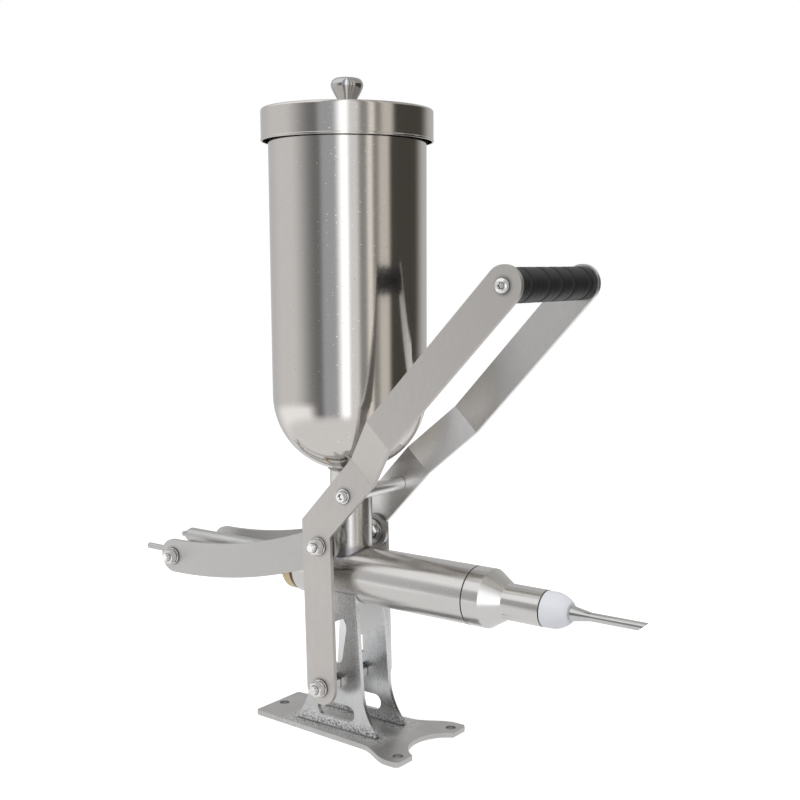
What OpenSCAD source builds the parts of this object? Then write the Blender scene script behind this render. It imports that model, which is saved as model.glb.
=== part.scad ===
// Lever donut filler: a hopper on a piston barrel, with an injection needle.
// A forked hand lever drives the piston through two curved links.
// Origin: centre of the base underside, below the hopper axis.
// +X points along the needle and +Z up. The machine mirrors about Y = 0.

/* [Base plate] */
// Rear edge of the base plate behind the hopper axis
base_rear = 97; // [90:1:110]
// Front edge of the base plate ahead of the hopper axis
base_front = 93; // [88:1:104]
// Thickness of the base plate
base_t = 5; // [3:0.5:8]
// Width of the plate at its rear edge
base_rear_w = 61; // [54:1:70]
// Width of the plate where the feet begin
base_waist_w = 76; // [70:1:86]
// Width across the two front feet
base_foot_w = 108; // [100:1:130]
// Length of the curve from the waist out to the feet
foot_curve_l = 41; // [30:1:50]
// Length of a foot's straight side
foot_side_l = 9; // [4:1:14]
// Corner cut at each foot's tip
corner_cut = 3; // [2:0.5:6]
// Corner cut at the rear corners
rear_corner_cut = 1.5; // [0.5:0.5:6]
// Radius of the scallop between the feet
scallop_r = 36; // [30:1:40]
// Depth of the scallop from the front edge
scallop_depth = 19.5; // [12:0.5:22]
// Bolt holes through the base
bolt_hole_d = 9; // [6:0.5:10]
// Distance between the two front bolt holes
front_hole_gap = 82; // [78:1:88]
// Front bolt holes from the front edge
front_hole_inset = 9; // [7.5:0.5:12]
// Rear bolt hole from the rear edge
rear_hole_inset = 9; // [8:0.5:14]

/* [Bracket] */
// Thickness of the two upright cheeks
cheek_t = 4; // [3:0.5:5]
// Clear width between the cheeks
cheek_gap = 36; // [32:1:40]
// Width of a cheek at the barrel
cheek_top_w = 50; // [44:1:54]
// Width of a cheek at the lever axle
cheek_waist_w = 62; // [58:1:66]
// Width of a cheek's foot
cheek_foot_w = 94; // [84:1:100]
// Radius of the flare from waist to foot
cheek_flare_r = 60; // [52:1:70]
// Upper window: width at its top
window_w = 27; // [20:1:30]
// Upper window: width at its bottom
window_low_w = 18; // [12:1:20]
// Depth of the upper window's top arc centre below the barrel's axis
window_top_drop = 48; // [45:1:53]
// Depth of the upper window's bottom arc centre below the barrel's axis
window_low_drop = 74; // [69:1:79]
// Lower slot: width from end to end
slot_w = 44; // [36:1:48]
// Lower slot: height
slot_h = 15.4; // [10:0.2:17]
// Height of the lower slot's centre
slot_z = 21.8; // [18:0.2:24]
// Thickness of the cross webs
web_t = 4; // [3:0.5:5]
// Depth of the webs' lower edge below the barrel's axis
web_drop = 53; // [47:1:59]
// Leg of the weld beads along the cheeks' feet
weld_leg = 2.4; // [1:0.2:3]

/* [Barrel and neck] */
// Outer diameter of the piston barrel
barrel_d = 52; // [48:0.5:56]
// Wall of the barrel and of the neck
barrel_wall = 1.2; // [1:0.1:2]
// Height of the barrel's axis
barrel_z = 151; // [146:1:156]
// Barrel length behind the hopper axis
barrel_rear = 52; // [48:1:62]
// Barrel length ahead of the hopper axis
barrel_front = 139; // [130:1:150]
// Outer diameter of the feed neck
neck_d = 38.6; // [34:0.2:40]
// Height of the hopper's lowest point above the barrel's axis
neck_rise = 97; // [90:1:104]
// Height of the weld bead under the hopper
neck_bead_h = 1.2; // [0.8:0.1:3]
// Width of the weld bead's ring
neck_bead_w = 1.6; // [1:0.1:3]

/* [Hopper] */
// Outer diameter of the hopper
hopper_d = 140; // [120:1:146]
// Wall of the hopper
hopper_wall = 1.5; // [1:0.1:3]
// Straight height of the hopper above its dome
hopper_straight = 249.6; // [180:1:320]
// How far the rim bead stands out
rim_out = 4.4; // [3:0.1:4.8]
// Height of the rim bead
rim_h = 3; // [2:0.5:5]
// Drop of the rim bead below the mouth
rim_drop = 6; // [4:0.5:12]

/* [Lid] */
// Gap between the hopper's rim bead and the lid's band
lid_rim_gap = 0.5; // [0.4:0.1:3]
// Sheet thickness of the lid
lid_t = 1.5; // [1:0.1:1.8]
// Height of the lid's band
lid_band_h = 27.6; // [18:0.2:40]
// Height of the knob
knob_h = 27.5; // [22:0.5:40]
// Widest diameter of the knob
knob_d = 28.6; // [22:0.2:40]
// Diameter of the knob's foot
knob_foot_d = 16; // [12:0.5:19]
// Diameter of the screw that holds the knob
knob_screw_d = 6; // [4:0.5:8]

/* [Nozzle] */
// Thickness of the joint ring between barrel and adapter
joint_ring_t = 1.2; // [0.8:0.1:2]
// Length of the adapter's full-diameter collar
adapter_collar_l = 16; // [10:0.5:24]
// Length of the adapter's cone
adapter_cone_l = 17; // [12:0.5:26]
// Outer diameter of the adapter's tube
adapter_tube_d = 31.6; // [28:0.2:34]
// Length of the adapter's tube
adapter_tube_l = 36; // [25:0.5:50]
// Wall of the adapter
adapter_wall = 2.4; // [1.5:0.1:3]
// Length of the adapter's spigot inside the barrel
spigot_l = 12; // [8:0.5:18]
// Thickness of the thin ring ahead of the adapter
tip_ring_t = 1; // [0.6:0.1:2]
// Length of the rounded nylon nose
nose_l = 22.5; // [18:0.5:36]
// Small end diameter of the nylon nose
nose_end_d = 17.6; // [14.6:0.2:20]
// Length of the threaded stub inside the adapter
nose_stub_l = 14; // [8:0.5:20]
// Length of the steel hub ahead of the nose
hub_l = 1.5; // [1:0.5:4]
// Length of the steel cone ahead of the hub
cone_l = 17; // [10:0.5:22]
// Diameter of the hub and of the cone's base
cone_d = 13; // [9.5:0.5:14]
// Outer diameter of the needle
needle_d = 7.4; // [5:0.1:9]
// Bore of the needle
needle_bore_d = 5; // [3:0.1:5.6]
// Length of the needle's long side
needle_l = 51; // [40:1:120]
// Length of the needle's slanted cut
needle_cut_l = 9; // [4:0.5:14]

/* [Piston] */
// Radial clearance between piston and barrel
piston_fit = 0.2; // [0.15:0.05:0.4]
// Length of the piston head
piston_l = 46; // [38:1:60]
// How far the piston head stands out of the barrel at rest
piston_out = 14; // [8:0.5:16]
// Width of a seal ring along the piston
seal_w = 5; // [2:0.5:6]
// Depth of a seal ring from its outer face
seal_depth = 2.5; // [1.5:0.1:4]
// Thickness of the steel plate behind the piston
back_plate_t = 4; // [3:0.5:6]
// Diameter of that plate
back_plate_d = 40; // [36:1:44]
// Diameter of the push bar
bar_d = 15.2; // [12:0.2:16]
// Height of the push bar above the barrel's axis
bar_rise = 7.3; // [6:0.1:9]
// Push bar behind the cross shaft
bar_tail = 23; // [14:1:28]
// Length of the bar's tapered end
bar_taper_l = 9; // [4:0.5:12]
// Diameter of the threaded stub at the bar's end
bar_stub_d = 5.4; // [4:0.2:10]
// Length of the threaded stub
bar_stub_l = 3; // [2:0.5:12]
// Diameter of the thin guide rod
rod_d = 6.2; // [5:0.1:8]
// Depth of the guide rod below the barrel's axis
rod_drop = 12.6; // [11:0.1:14]
// Guide rod behind the cross shaft
rod_tail = 79; // [40:1:90]
// Distance of the cross shaft behind the hopper axis
shaft_back = 199; // [190:1:210]
// Depth of the cross shaft below the barrel's axis
shaft_drop = 5; // [4:0.1:6]
// Length of the crosshead block
crosshead_l = 24; // [16:1:28]
// Width of the crosshead block
crosshead_w = 18; // [17:0.5:24]

/* [Links] */
// Width of a link
link_w = 33; // [30:0.5:36]
// Thickness of a link
link_t = 4; // [3:0.5:5]
// Sag of a link's curve below the line between its pins
link_sag = 9.5; // [4:0.5:16]
// Diameter of the free hole round the lever's link bolt
link_free_d = 16.6; // [16.4:0.1:17]

/* [Lever] */
// Width of an arm
arm_w = 32.5; // [28:0.5:34]
// Thickness of an arm
arm_t = 4; // [3:0.5:4]
// Distance across the arms below the bends
arms_low_w = 86; // [85:1:92]
// Distance across the arms above the bends
arms_top_w = 134.5; // [130:0.5:150]
// Distance across the arms at the grip
arms_grip_w = 128; // [116:0.5:130]
// Position of the lever's axle behind the hopper axis
axle_back = 3; // [0:0.5:6]
// Height of the lever's axle
axle_z = 50.5; // [46:0.5:54]
// Height of the link bolt above the axle
crank_h = 133; // [128:1:138]
// Depth of the arm's elbow below the hopper's lowest point
elbow_drop = 48.5; // [43.5:0.5:53.5]
// Distance of the elbow behind the axle
elbow_back = 3.3; // [0:0.1:6]
// Position of the grip ahead of the axle
grip_reach = 207.2; // [180:0.2:230]
// Height of the grip above the axle
grip_h = 368.6; // [330:0.2:400]
// Elbow to the cross tie along the arm
tie_along = 47; // [45:0.5:52]
// Offset of the cross tie from the arm's centre line, away from the neck
tie_offset = 1.2; // [0:0.1:3]
// Elbow to the lower bend line along the arm
bend_along = 78; // [70:1:90]
// Length of the slanted stretch between the bends
bend_run = 53; // [40:1:70]
// Diameter of the cross tie
tie_d = 12.8; // [10:0.2:13]
// Diameter of the grip sleeve
grip_d = 28.5; // [26:0.5:32]
// Distance between the grip's two inner grooves
grip_groove_in = 40; // [30:1:50]
// Distance between the grip's two outer grooves
grip_groove_out = 94; // [70:1:100]
// Shift of the grooves towards the far arm
grip_groove_shift = 2.5; // [0:0.5:5]
// Diameter of the steel bar inside the grip
grip_core_d = 18; // [16:0.5:20]

/* [Fasteners] */
// Diameter of the axle, cross shaft and link bolts
pin_d = 8; // [6:0.5:8]
// Nut and bolt head across flats
nut_af = 13; // [12:0.5:14]
// Nut height
nut_h = 6.5; // [5:0.1:7]
// Height of the axle's lock nuts
lock_nut_h = 8; // [6:0.1:9]
// Bolt head height
head_h = 5.3; // [4:0.1:6]
// Washer diameter
washer_d = 16; // [15:0.5:17]
// Wide washer diameter over the links' free holes
wide_washer_d = 24; // [22:0.5:26]
// Washer thickness
washer_t = 1.6; // [1:0.1:2]
// Thread that stands out of a nut
thread_out = 4.5; // [2:0.5:6]
// Diameter of the tie screws
tie_screw_d = 6; // [4:0.5:6]
// Diameter of the tie screws' heads
tie_head_d = 10; // [9:0.5:11]
// Height of the tie screws' heads
tie_head_h = 4; // [3:0.1:5]
// Diameter of the tie washers
tie_washer_d = 13; // [12:0.5:14]
// Diameter of the grip screws' button heads
button_d = 12; // [11:0.5:14]
// Height of the button heads
button_h = 4; // [3:0.1:5]
// Hexagon socket across flats
socket_af = 5; // [4:0.5:5]
// Depth of a hexagon socket
socket_depth = 2.4; // [1.5:0.1:2.8]
// Length of the tie and grip screws inside their bars
screw_grip_l = 18; // [10:1:24]

/* [Hidden] */
$fn = 96;
big_arc_fn = 720;
// Running fit of a pin in a moving plate, per side
pin_fit = 0.06;
// Gap between a fastener and its own hole, per side
thread_fit = 0.03;
// Gap between plates that move past each other
side_gap = 0.5;
// Gap at a seat between two bodies
seat_gap = 0.3;
// Gap at a welded seam
weld_gap = 0.05;
// Gap at the grip's ends, where the arms lean inwards
lean_gap = 0.35;
// Overrun of every cut
overrun = 2;

barrel_r = barrel_d / 2;
bore_r = barrel_r - barrel_wall;
neck_r = neck_d / 2;
neck_bore_r = neck_r - barrel_wall;
hopper_r = hopper_d / 2;
hopper_in_r = hopper_r - hopper_wall;
lid_r = hopper_r + rim_out + lid_rim_gap + lid_t;
pin_r = pin_d / 2;

hopper_low_z = barrel_z + neck_rise;
dome_z = hopper_low_z + hopper_r;
mouth_z = dome_z + hopper_straight;
lid_top_z = mouth_z + seat_gap + lid_t;
neck_top_z = dome_z - sqrt(pow(hopper_in_r, 2) - pow(neck_bore_r, 2));

foot_start_x = base_front - corner_cut - foot_side_l - foot_curve_l;
front_hole_x = base_front - front_hole_inset;
rear_hole_x = rear_hole_inset - base_rear;
cheek_out_y = cheek_gap / 2 + cheek_t;
cheek_top_z = barrel_z - sqrt(pow(barrel_r, 2) - pow(cheek_out_y, 2));
window_top_z = barrel_z - window_top_drop;
window_low_z = barrel_z - window_low_drop;
web_z = barrel_z - web_drop;

axle_x = -axle_back;
axle_pt = [axle_x, axle_z];
crank_pt = axle_pt + [0, crank_h];
elbow_pt = [axle_x - elbow_back, hopper_low_z - elbow_drop];
grip_pt = axle_pt + [grip_reach, grip_h];
arm_dir = (grip_pt - elbow_pt) / norm(grip_pt - elbow_pt);
arm_lean = atan2(arm_dir[0], arm_dir[1]);
tie_pt = elbow_pt + tie_along * arm_dir - tie_offset * rot2(arm_dir);
arm_low_in = arms_low_w / 2 - arm_t;
grip_in = arms_grip_w / 2 - arm_t - lean_gap;

shaft_pt = [-shaft_back, barrel_z - shaft_drop];
link_out_y = arm_low_in - side_gap;
link_in_y = link_out_y - link_t;

piston_rear_x = -barrel_rear - piston_out;
piston_front_x = piston_rear_x + piston_l;
piston_r = bore_r - piston_fit;
back_plate_x = piston_rear_x - back_plate_t;
bar_z = barrel_z + bar_rise;
rod_z = barrel_z - rod_drop;

joint_x = barrel_front + joint_ring_t;
adapter_end_x = joint_x + adapter_collar_l + adapter_cone_l + adapter_tube_l;
nose_x = adapter_end_x + tip_ring_t;
nose_end_x = nose_x + nose_l;
needle_x = nose_end_x + hub_l + cone_l;
adapter_tube_r = adapter_tube_d / 2;
adapter_bore_r = adapter_tube_r - adapter_wall;
needle_r = needle_d / 2;
needle_bore_r = needle_bore_d / 2;

function rot2(v) = [-v[1], v[0]];
function unit(v) = v / norm(v);
function smooth_step(t) = t * t * (3 - 2 * t);

// Mitred normal of a path at its point i
function path_normal(p, i) =
  let (
    last = len(p) - 1,
    back = i > 0 ? rot2(unit(p[i] - p[i - 1])) : rot2(unit(p[1] - p[0])),
    ahead = i < last ? rot2(unit(p[i + 1] - p[i])) : rot2(unit(p[last] - p[last - 1]))
  )
  (back + ahead) / (1 + back * ahead);

// Outline of a strip of width w along a path
function strip_points(p, w) = concat(
  [for (i = [0 : len(p) - 1]) p[i] + w / 2 * path_normal(p, i)],
  [for (i = [len(p) - 1 : -1 : 0]) p[i] - w / 2 * path_normal(p, i)]
);

// Turns a shape drawn up the Z axis so that it lies along +X
module along_x(x, z) {
  translate([x, 0, z]) rotate([0, 90, 0]) children();
}

// Turns a shape drawn up the Z axis so that it lies along +Y
module along_y(pt, y) {
  translate([pt[0], y, pt[1]]) rotate([-90, 0, 0]) children();
}

// Extrudes an outline in the XZ plane from y to y + t
module side_plate(y, t) {
  translate([0, y + t, 0]) rotate([90, 0, 0]) linear_extrude(t) children();
}

module mirrored_pair() {
  children();
  mirror([0, 1, 0]) children();
}

// Round hole across the whole machine
module cross_hole(pt, r) {
  along_y(pt, -arms_top_w) cylinder(r = r, h = 2 * arms_top_w);
}

module ring(r_out, r_in, h) {
  difference() {
    cylinder(r = r_out, h = h);
    translate([0, 0, -overrun]) cylinder(r = r_in, h = h + 2 * overrun);
  }
}

module hex_nut(af, h, hole_r) {
  difference() {
    cylinder(d = af / cos(30), h = h, $fn = 6);
    translate([0, 0, -overrun]) cylinder(r = hole_r, h = h + 2 * overrun);
  }
}

// Base plate

function base_half_outline() = concat(
  [
    [-base_rear, base_rear_w / 2 - rear_corner_cut],
    [rear_corner_cut - base_rear, base_rear_w / 2]
  ],
  [
    for (i = [0 : 10])
    let (t = i / 10)
    [
      foot_start_x + t * foot_curve_l,
      base_waist_w / 2 + smooth_step(t) * (base_foot_w - base_waist_w) / 2
    ]
  ],
  [
    [base_front - corner_cut, base_foot_w / 2],
    [base_front, base_foot_w / 2 - corner_cut]
  ]
);

module base_outline() {
  half = base_half_outline();
  count = len(half);
  difference() {
    polygon(concat(half, [for (i = [count - 1 : -1 : 0]) [half[i][0], -half[i][1]]]));
    translate([base_front - scallop_depth + scallop_r, 0]) circle(r = scallop_r);
    translate([rear_hole_x, 0]) circle(d = bolt_hole_d);
    for (side = [-1, 1])
      translate([front_hole_x, side * front_hole_gap / 2]) circle(d = bolt_hole_d);
  }
}

module base_plate() {
  color("silver") linear_extrude(base_t) base_outline();
}

// Bracket between the base and the barrel

module barrel_clearance() {
  along_x(-base_rear, barrel_z) cylinder(r = barrel_r + weld_gap, h = 2 * base_rear);
}

module cheek_outline() {
  flare_x = cheek_waist_w / 2 + cheek_flare_r;
  difference() {
    union() {
      polygon([
        [axle_x - cheek_waist_w / 2, axle_z],
        [axle_x + cheek_waist_w / 2, axle_z],
        [axle_x + cheek_top_w / 2, cheek_top_z],
        [axle_x - cheek_top_w / 2, cheek_top_z]
      ]);
      difference() {
        translate([axle_x - cheek_foot_w / 2, base_t])
          square([cheek_foot_w, axle_z - base_t]);
        for (side = [-1, 1])
          translate([axle_x + side * flare_x, axle_z]) circle(r = cheek_flare_r);
      }
    }
    window_outline();
    slot_outline();
    translate(axle_pt) circle(r = pin_r + thread_fit);
  }
}

module window_outline() {
  translate([axle_x, window_top_z]) circle(d = window_w);
  translate([axle_x, window_low_z]) circle(d = window_low_w);
  polygon([
    [axle_x - window_w / 2, window_top_z],
    [axle_x - window_low_w / 2, window_low_z],
    [axle_x + window_low_w / 2, window_low_z],
    [axle_x + window_w / 2, window_top_z]
  ]);
}

module slot_outline() {
  run = slot_w - slot_h;
  for (side = [-1, 1])
    translate([axle_x + side * run / 2, slot_z]) circle(d = slot_h);
  translate([axle_x - run / 2, slot_z - slot_h / 2]) square([run, slot_h]);
}

module cheek() {
  difference() {
    side_plate(cheek_gap / 2, cheek_t) cheek_outline();
    barrel_clearance();
  }
}

module near_cheek() {
  color("silver") mirror([0, 1, 0]) cheek();
}

module far_cheek() {
  color("silver") cheek();
}

// A cross web stands between the cheeks, just inside their edges
module web(side) {
  edge_x = cheek_top_w / 2 - web_t;
  x = side > 0 ? axle_x + edge_x : axle_x - edge_x - web_t;
  difference() {
    translate([x, -cheek_gap / 2, web_z]) cube([web_t, cheek_gap, barrel_z - web_z]);
    barrel_clearance();
  }
}

module front_web() {
  color("silver") web(1);
}

module rear_web() {
  color("silver") web(-1);
}

// Three-sided weld bead along one face of a cheek
module foot_bead(y, turn) {
  translate([axle_x - cheek_foot_w / 2, y, base_t])
    rotate([90, 0, 90])
      linear_extrude(cheek_foot_w)
        polygon([[0, 0], [turn * weld_leg, 0], [0, weld_leg]]);
}

module foot_welds() {
  color("darkgray") mirrored_pair() {
    foot_bead(cheek_out_y, 1);
    foot_bead(cheek_gap / 2, -1);
  }
}

// Barrel with its feed neck, one welded piece

module barrel() {
  color("gainsboro") difference() {
    union() {
      along_x(-barrel_rear, barrel_z) cylinder(r = barrel_r, h = barrel_rear + barrel_front);
      translate([0, 0, barrel_z]) cylinder(r = neck_r, h = neck_top_z - barrel_z);
    }
    along_x(-barrel_rear - overrun, barrel_z)
      cylinder(r = bore_r, h = barrel_rear + barrel_front + 2 * overrun);
    translate([0, 0, barrel_z]) cylinder(r = neck_bore_r, h = neck_top_z - barrel_z + overrun);
  }
}

// Hopper: straight wall, hemispherical dome and a bead under the mouth

module hopper_shell() {
  color("silver") difference() {
    union() {
      translate([0, 0, dome_z]) sphere(r = hopper_r);
      translate([0, 0, dome_z]) cylinder(r = hopper_r, h = hopper_straight);
      translate([0, 0, mouth_z - rim_drop - rim_h]) cylinder(r = hopper_r + rim_out, h = rim_h);
    }
    translate([0, 0, dome_z]) sphere(r = hopper_in_r);
    translate([0, 0, dome_z]) cylinder(r = hopper_in_r, h = hopper_straight + overrun);
    translate([0, 0, barrel_z]) cylinder(r = neck_r + weld_gap, h = neck_rise + hopper_r);
  }
}

module neck_weld() {
  ring_r = neck_r + weld_gap;
  low_z = dome_z - sqrt(pow(hopper_r, 2) - pow(ring_r, 2)) - neck_bead_h;
  color("darkgray") difference() {
    translate([0, 0, low_z]) ring(ring_r + neck_bead_w, ring_r, 3 * neck_bead_h);
    translate([0, 0, dome_z]) sphere(r = hopper_r + weld_gap);
  }
}

// Lid that lifts off, with a turned knob

module lid() {
  color("silver") translate([0, 0, lid_top_z]) rotate_extrude()
    polygon([
      [knob_screw_d / 2 + thread_fit, 0],
      [lid_r - lid_t, 0],
      [lid_r, -lid_t],
      [lid_r, -lid_band_h],
      [lid_r - lid_t, -lid_band_h],
      [lid_r - lid_t, -lid_t],
      [knob_screw_d / 2 + thread_fit, -lid_t]
    ]);
}

module lid_knob() {
  foot_r = knob_foot_d / 2;
  top_r = knob_d / 2;
  screw_r = knob_screw_d / 2 + thread_fit;
  color("silver") translate([0, 0, lid_top_z]) difference() {
    rotate_extrude() polygon([
      [0, 0],
      [foot_r, 0],
      [foot_r + 0.10 * (top_r - foot_r), 0.15 * knob_h],
      [foot_r + 0.72 * (top_r - foot_r), 0.52 * knob_h],
      [foot_r + 0.94 * (top_r - foot_r), 0.63 * knob_h],
      [top_r, 0.70 * knob_h],
      [top_r, 0.76 * knob_h],
      [top_r - 0.04 * knob_d, 0.86 * knob_h],
      [top_r - 0.13 * knob_d, 0.95 * knob_h],
      [foot_r, 0.99 * knob_h],
      [0, knob_h]
    ]);
    translate([0, 0, -overrun]) cylinder(r = screw_r, h = knob_h / 2 + overrun);
  }
}

module knob_screw() {
  shank_l = lid_t + 0.4 * knob_h;
  color("dimgray") translate([0, 0, lid_top_z - lid_t]) {
    cylinder(d = knob_screw_d, h = shank_l);
    translate([0, 0, -tie_head_h]) difference() {
      cylinder(d = tie_head_d, h = tie_head_h);
      translate([0, 0, -overrun])
        cylinder(d = socket_af / cos(30), h = socket_depth + overrun, $fn = 6);
    }
  }
}

// Nozzle, from the barrel forwards

module joint_ring() {
  color("black") along_x(barrel_front, barrel_z)
    ring(barrel_r - barrel_wall / 3, bore_r, joint_ring_t);
}

module nozzle_adapter() {
  spigot_r = bore_r - weld_gap;
  back_l = joint_ring_t + spigot_l;
  cone_end = adapter_collar_l + adapter_cone_l;
  tube_end = cone_end + adapter_tube_l;
  color("silver") along_x(joint_x, barrel_z) rotate_extrude() polygon([
    [spigot_r - adapter_wall, -back_l],
    [spigot_r, -back_l],
    [spigot_r, 0],
    [barrel_r, 0],
    [barrel_r, adapter_collar_l],
    [adapter_tube_r, cone_end],
    [adapter_tube_r, tube_end],
    [adapter_bore_r, tube_end],
    [adapter_bore_r, cone_end - adapter_wall],
    [spigot_r - adapter_wall, adapter_collar_l - adapter_wall]
  ]);
}

module tip_ring() {
  color("black") along_x(adapter_end_x, barrel_z)
    ring(adapter_tube_r - adapter_wall / 4, adapter_bore_r, tip_ring_t);
}

// Rounded nose: its profile is a quarter wave between the two radii
module nylon_nose() {
  stub_r = adapter_bore_r - weld_gap;
  flank_r = adapter_tube_r - adapter_wall / 8;
  end_r = nose_end_d / 2;
  straight_share = 0.3;
  color("white") along_x(nose_x, barrel_z) difference() {
    rotate_extrude() polygon(concat(
      [
        [0, -tip_ring_t - nose_stub_l],
        [stub_r, -tip_ring_t - nose_stub_l],
        [stub_r, 0],
        [flank_r, 0]
      ],
      [
        for (i = [0 : 8])
        let (t = i / 8)
        [
          end_r + (flank_r - end_r) * pow(cos(90 * t), 0.8),
          nose_l * (straight_share + (1 - straight_share) * t)
        ]
      ],
      [[0, nose_l]]
    ));
    translate([0, 0, -tip_ring_t - nose_stub_l - overrun])
      cylinder(r = needle_bore_r + thread_fit, h = nose_l + nose_stub_l + 2 * overrun);
  }
}

module needle() {
  tip_x = needle_x + needle_l;
  slope = needle_cut_l / needle_d;
  color("silver") difference() {
    along_x(nose_end_x, barrel_z) rotate_extrude() polygon([
      [needle_bore_r, 0],
      [cone_d / 2, 0],
      [cone_d / 2, hub_l],
      [needle_r, hub_l + cone_l],
      [needle_r, hub_l + cone_l + needle_l],
      [needle_bore_r, hub_l + cone_l + needle_l]
    ]);
    // The slanted cut leaves the upper side of the needle longest
    side_plate(-needle_d, 2 * needle_d) polygon([
      [tip_x + slope * overrun, barrel_z + needle_r + overrun],
      [tip_x - needle_cut_l - slope * overrun, barrel_z - needle_r - overrun],
      [tip_x + needle_cut_l, barrel_z - needle_r - overrun],
      [tip_x + needle_cut_l, barrel_z + needle_r + overrun]
    ]);
  }
}

// Piston and what rides with it

seal_r = piston_r + piston_fit / 2;
rear_seal_x = -barrel_rear - 0.95 * seal_w;
front_seal_x = piston_front_x - 3 * seal_w;

module piston_head() {
  chamfer = seal_depth / 2;
  color("ivory") difference() {
    along_x(piston_rear_x, barrel_z) rotate_extrude() polygon([
      [0, 0],
      [piston_r, 0],
      [piston_r, piston_l - chamfer],
      [piston_r - chamfer, piston_l],
      [0, piston_l]
    ]);
    for (x = [rear_seal_x, front_seal_x])
      along_x(x - thread_fit, barrel_z)
        ring(barrel_r, seal_r - seal_depth - thread_fit, seal_w + 2 * thread_fit);
    plate_screw_places() cylinder(d = tie_screw_d + 2 * thread_fit, h = screw_grip_l + overrun);
  }
}

module piston_seals() {
  color("darkgoldenrod") for (x = [rear_seal_x, front_seal_x])
    along_x(x, barrel_z) ring(seal_r, seal_r - seal_depth, seal_w);
}

// Two screws beside the bar hold the plate to the piston
module plate_screw_places() {
  for (side = [-1, 1])
    translate([piston_rear_x, side * 0.32 * back_plate_d, barrel_z])
      rotate([0, 90, 0]) children();
}

module back_plate() {
  color("dimgray") difference() {
    along_x(back_plate_x, barrel_z) cylinder(d = back_plate_d, h = back_plate_t);
    plate_screw_places()
      translate([0, 0, -back_plate_t - overrun])
        cylinder(d = tie_screw_d + 2 * thread_fit, h = back_plate_t + 2 * overrun);
  }
}

module plate_screws() {
  color("silver") plate_screw_places() {
    translate([0, 0, -back_plate_t]) cylinder(d = tie_screw_d, h = back_plate_t + screw_grip_l);
    translate([0, 0, -back_plate_t - tie_head_h]) difference() {
      cylinder(d = tie_head_d, h = tie_head_h);
      translate([0, 0, -overrun])
        cylinder(d = socket_af / cos(30), h = socket_depth + overrun, $fn = 6);
    }
  }
}

module push_bar() {
  x = -shaft_back - bar_tail;
  color("silver") along_x(x, bar_z) rotate_extrude() polygon([
    [0, -bar_stub_l],
    [bar_stub_d / 2, -bar_stub_l],
    [bar_stub_d / 2, 0],
    [bar_d / 2, bar_taper_l],
    [bar_d / 2, back_plate_x - x],
    [0, back_plate_x - x]
  ]);
}

module guide_rod() {
  x = -shaft_back - rod_tail;
  color("silver") along_x(x, rod_z) cylinder(d = rod_d, h = back_plate_x - x);
}

// Block that carries the cross shaft between the bar and the rod
module crosshead() {
  wall = rod_d / 2;
  low_z = rod_z - rod_d / 2 - wall;
  high_z = bar_z - bar_d / 2 + wall / 2;
  color("silver") difference() {
    translate([-shaft_back - crosshead_l / 2, -crosshead_w / 2, low_z])
      cube([crosshead_l, crosshead_w, high_z - low_z]);
    cross_hole(shaft_pt, pin_r + thread_fit);
    along_x(-shaft_back - crosshead_l, bar_z)
      cylinder(r = bar_d / 2 + thread_fit, h = 2 * crosshead_l);
    along_x(-shaft_back - crosshead_l, rod_z)
      cylinder(r = rod_d / 2 + thread_fit, h = 2 * crosshead_l);
  }
}

shaft_washer_y = link_out_y + seat_gap;
shaft_nut_y = shaft_washer_y + washer_t;
shaft_end_y = shaft_nut_y + nut_h + thread_out;
inner_washer_y = link_in_y - seat_gap - washer_t;
inner_nut_y = inner_washer_y - nut_h;

module cross_shaft() {
  color("silver") along_y(shaft_pt, -shaft_end_y) cylinder(r = pin_r, h = 2 * shaft_end_y);
}

module shaft_washers() {
  color("gainsboro") mirrored_pair()
    along_y(shaft_pt, shaft_washer_y) ring(washer_d / 2, pin_r + thread_fit, washer_t);
}

module shaft_nuts() {
  color("gainsboro") mirrored_pair()
    along_y(shaft_pt, shaft_nut_y) hex_nut(nut_af, nut_h, pin_r + thread_fit);
}

module shaft_inner_washers() {
  color("gainsboro") mirrored_pair()
    along_y(shaft_pt, inner_washer_y) ring(washer_d / 2, pin_r + thread_fit, washer_t);
}

module shaft_inner_nuts() {
  color("gainsboro") mirrored_pair()
    along_y(shaft_pt, inner_nut_y) hex_nut(nut_af, nut_h, pin_r + thread_fit);
}

// Links: flat plates cut along an arc that sags below the pins

module link_outline() {
  span = crank_pt - shaft_pt;
  up = rot2(unit(span));
  arc_r = (pow(norm(span) / 2, 2) + pow(link_sag, 2)) / (2 * link_sag);
  centre = (crank_pt + shaft_pt) / 2 + (arc_r - link_sag) * up;
  reach = (arc_r + link_w) / arc_r;
  difference() {
    union() {
      intersection() {
        translate(centre) difference() {
          circle(r = arc_r + link_w / 2, $fn = big_arc_fn);
          circle(r = arc_r - link_w / 2, $fn = big_arc_fn);
        }
        polygon([
          centre,
          centre + reach * (shaft_pt - centre),
          centre - reach * arc_r * up,
          centre + reach * (crank_pt - centre)
        ]);
      }
      translate(shaft_pt) circle(d = link_w);
      translate(crank_pt) circle(d = link_w);
    }
    translate(shaft_pt) circle(r = pin_r + pin_fit);
    translate(crank_pt) circle(d = link_free_d);
  }
}

module near_link() {
  color("silver") mirror([0, 1, 0]) side_plate(link_in_y, link_t) link_outline();
}

module far_link() {
  color("silver") side_plate(link_in_y, link_t) link_outline();
}

// Lever arms: strip steel, bent outwards between the elbow and the grip

module arm_profile() {
  side_plate(0, arms_top_w) polygon(strip_points([axle_pt, elbow_pt, grip_pt], arm_w));
  side_plate(0, arms_top_w) translate(axle_pt) circle(d = arm_w);
  side_plate(0, arms_top_w) translate(grip_pt) circle(d = arm_w);
}

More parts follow.
